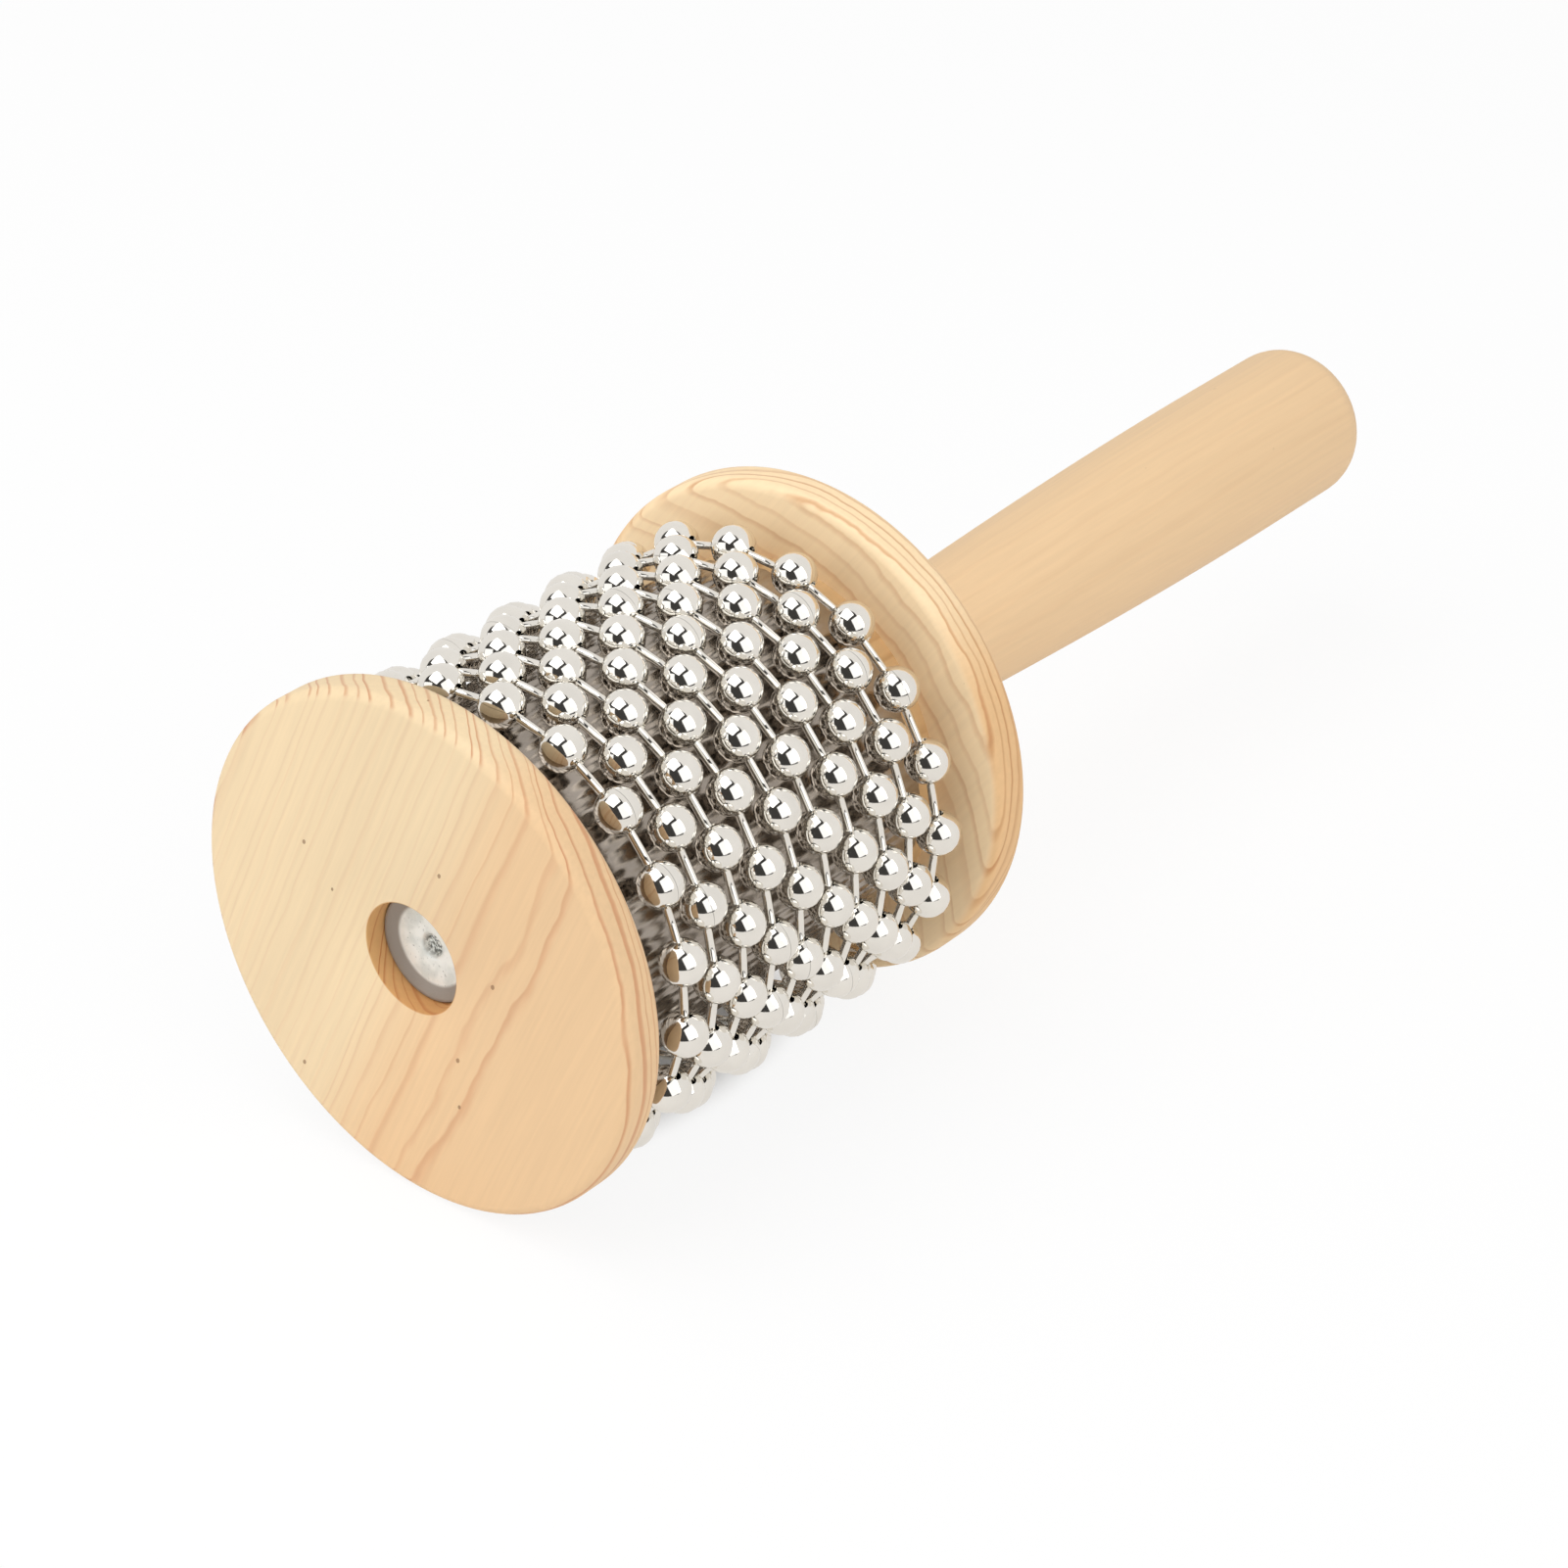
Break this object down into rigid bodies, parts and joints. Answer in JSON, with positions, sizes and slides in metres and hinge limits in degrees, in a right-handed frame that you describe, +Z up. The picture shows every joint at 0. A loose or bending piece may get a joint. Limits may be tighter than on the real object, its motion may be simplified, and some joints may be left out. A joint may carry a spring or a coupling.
{
  "type": "cabasa",
  "caption": "Hand-held cabasa rattle: a fluted steel drum between two wooden discs, wrapped in loose loops of metal ball chain, on a turned wooden handle.",
  "frame": {"origin": "the middle of the handle on its axis, where the hand holds it", "axes": "+Y along the drum's axis from the front disc to the end of the handle, +Z up, +X to the right seen from the front"},
  "size_m": [0.075, 0.2103, 0.075],
  "materials": {
    "disc_wood": "sanded pine with a thin clear coat",
    "core_wood": "plain turned softwood",
    "handle_wood": "turned and sanded, thin clear coat",
    "sleeve_steel": "bright rolled steel",
    "bead_nickel": "bright nickel plating",
    "pin_nickel": "bright nickel plating",
    "bolt_zinc": "dull zinc plating"
  },
  "bodies": {
    "drum": {"front_disc": "disc_wood", "rear_disc": "disc_wood", "drum_core": "core_wood", "fluted_sleeve": "sleeve_steel", "handle": "handle_wood", "centre_bolt": "bolt_zinc"},
    "chain_01": {"chain_01_beads": "bead_nickel", "chain_01_pins": "pin_nickel"},
    "chain_02": {"chain_02_beads": "bead_nickel", "chain_02_pins": "pin_nickel"},
    "chain_03": {"chain_03_beads": "bead_nickel", "chain_03_pins": "pin_nickel"},
    "chain_04": {"chain_04_beads": "bead_nickel", "chain_04_pins": "pin_nickel"},
    "chain_05": {"chain_05_beads": "bead_nickel", "chain_05_pins": "pin_nickel"},
    "chain_06": {"chain_06_beads": "bead_nickel", "chain_06_pins": "pin_nickel"},
    "chain_07": {"chain_07_beads": "bead_nickel", "chain_07_pins": "pin_nickel"},
    "chain_08": {"chain_08_beads": "bead_nickel", "chain_08_pins": "pin_nickel"},
    "chain_09": {"chain_09_beads": "bead_nickel", "chain_09_pins": "pin_nickel"},
    "chain_10": {"chain_10_beads": "bead_nickel", "chain_10_pins": "pin_nickel"}
  },
  "joints": [
    {"name": "chain_01_turn", "type": "hinge", "parent": "drum", "child": "chain_01", "pos_m": [0, -0.1298, -0.00163], "axis": [0, 1, 0], "continuous": true},
    {"name": "chain_02_turn", "type": "hinge", "parent": "drum", "child": "chain_02", "pos_m": [0, -0.124, -0.00163], "axis": [0, 1, 0], "continuous": true},
    {"name": "chain_03_turn", "type": "hinge", "parent": "drum", "child": "chain_03", "pos_m": [0, -0.1182, -0.00163], "axis": [0, 1, 0], "continuous": true},
    {"name": "chain_04_turn", "type": "hinge", "parent": "drum", "child": "chain_04", "pos_m": [0, -0.1124, -0.00163], "axis": [0, 1, 0], "continuous": true},
    {"name": "chain_05_turn", "type": "hinge", "parent": "drum", "child": "chain_05", "pos_m": [0, -0.1066, -0.00163], "axis": [0, 1, 0], "continuous": true},
    {"name": "chain_06_turn", "type": "hinge", "parent": "drum", "child": "chain_06", "pos_m": [0, -0.1008, -0.00163], "axis": [0, 1, 0], "continuous": true},
    {"name": "chain_07_turn", "type": "hinge", "parent": "drum", "child": "chain_07", "pos_m": [0, -0.095, -0.00163], "axis": [0, 1, 0], "continuous": true},
    {"name": "chain_08_turn", "type": "hinge", "parent": "drum", "child": "chain_08", "pos_m": [0, -0.0892, -0.00163], "axis": [0, 1, 0], "continuous": true},
    {"name": "chain_09_turn", "type": "hinge", "parent": "drum", "child": "chain_09", "pos_m": [0, -0.0834, -0.00163], "axis": [0, 1, 0], "continuous": true},
    {"name": "chain_10_turn", "type": "hinge", "parent": "drum", "child": "chain_10", "pos_m": [0, -0.0776, -0.00163], "axis": [0, 1, 0], "continuous": true}
  ],
  "couplings": [
    {"joint": "chain_02_turn", "follows": "chain_01_turn", "ratio": 1},
    {"joint": "chain_03_turn", "follows": "chain_01_turn", "ratio": 1},
    {"joint": "chain_04_turn", "follows": "chain_01_turn", "ratio": 1},
    {"joint": "chain_05_turn", "follows": "chain_01_turn", "ratio": 1},
    {"joint": "chain_06_turn", "follows": "chain_01_turn", "ratio": 1},
    {"joint": "chain_07_turn", "follows": "chain_01_turn", "ratio": 1},
    {"joint": "chain_08_turn", "follows": "chain_01_turn", "ratio": 1},
    {"joint": "chain_09_turn", "follows": "chain_01_turn", "ratio": 1},
    {"joint": "chain_10_turn", "follows": "chain_01_turn", "ratio": 1}
  ]
}
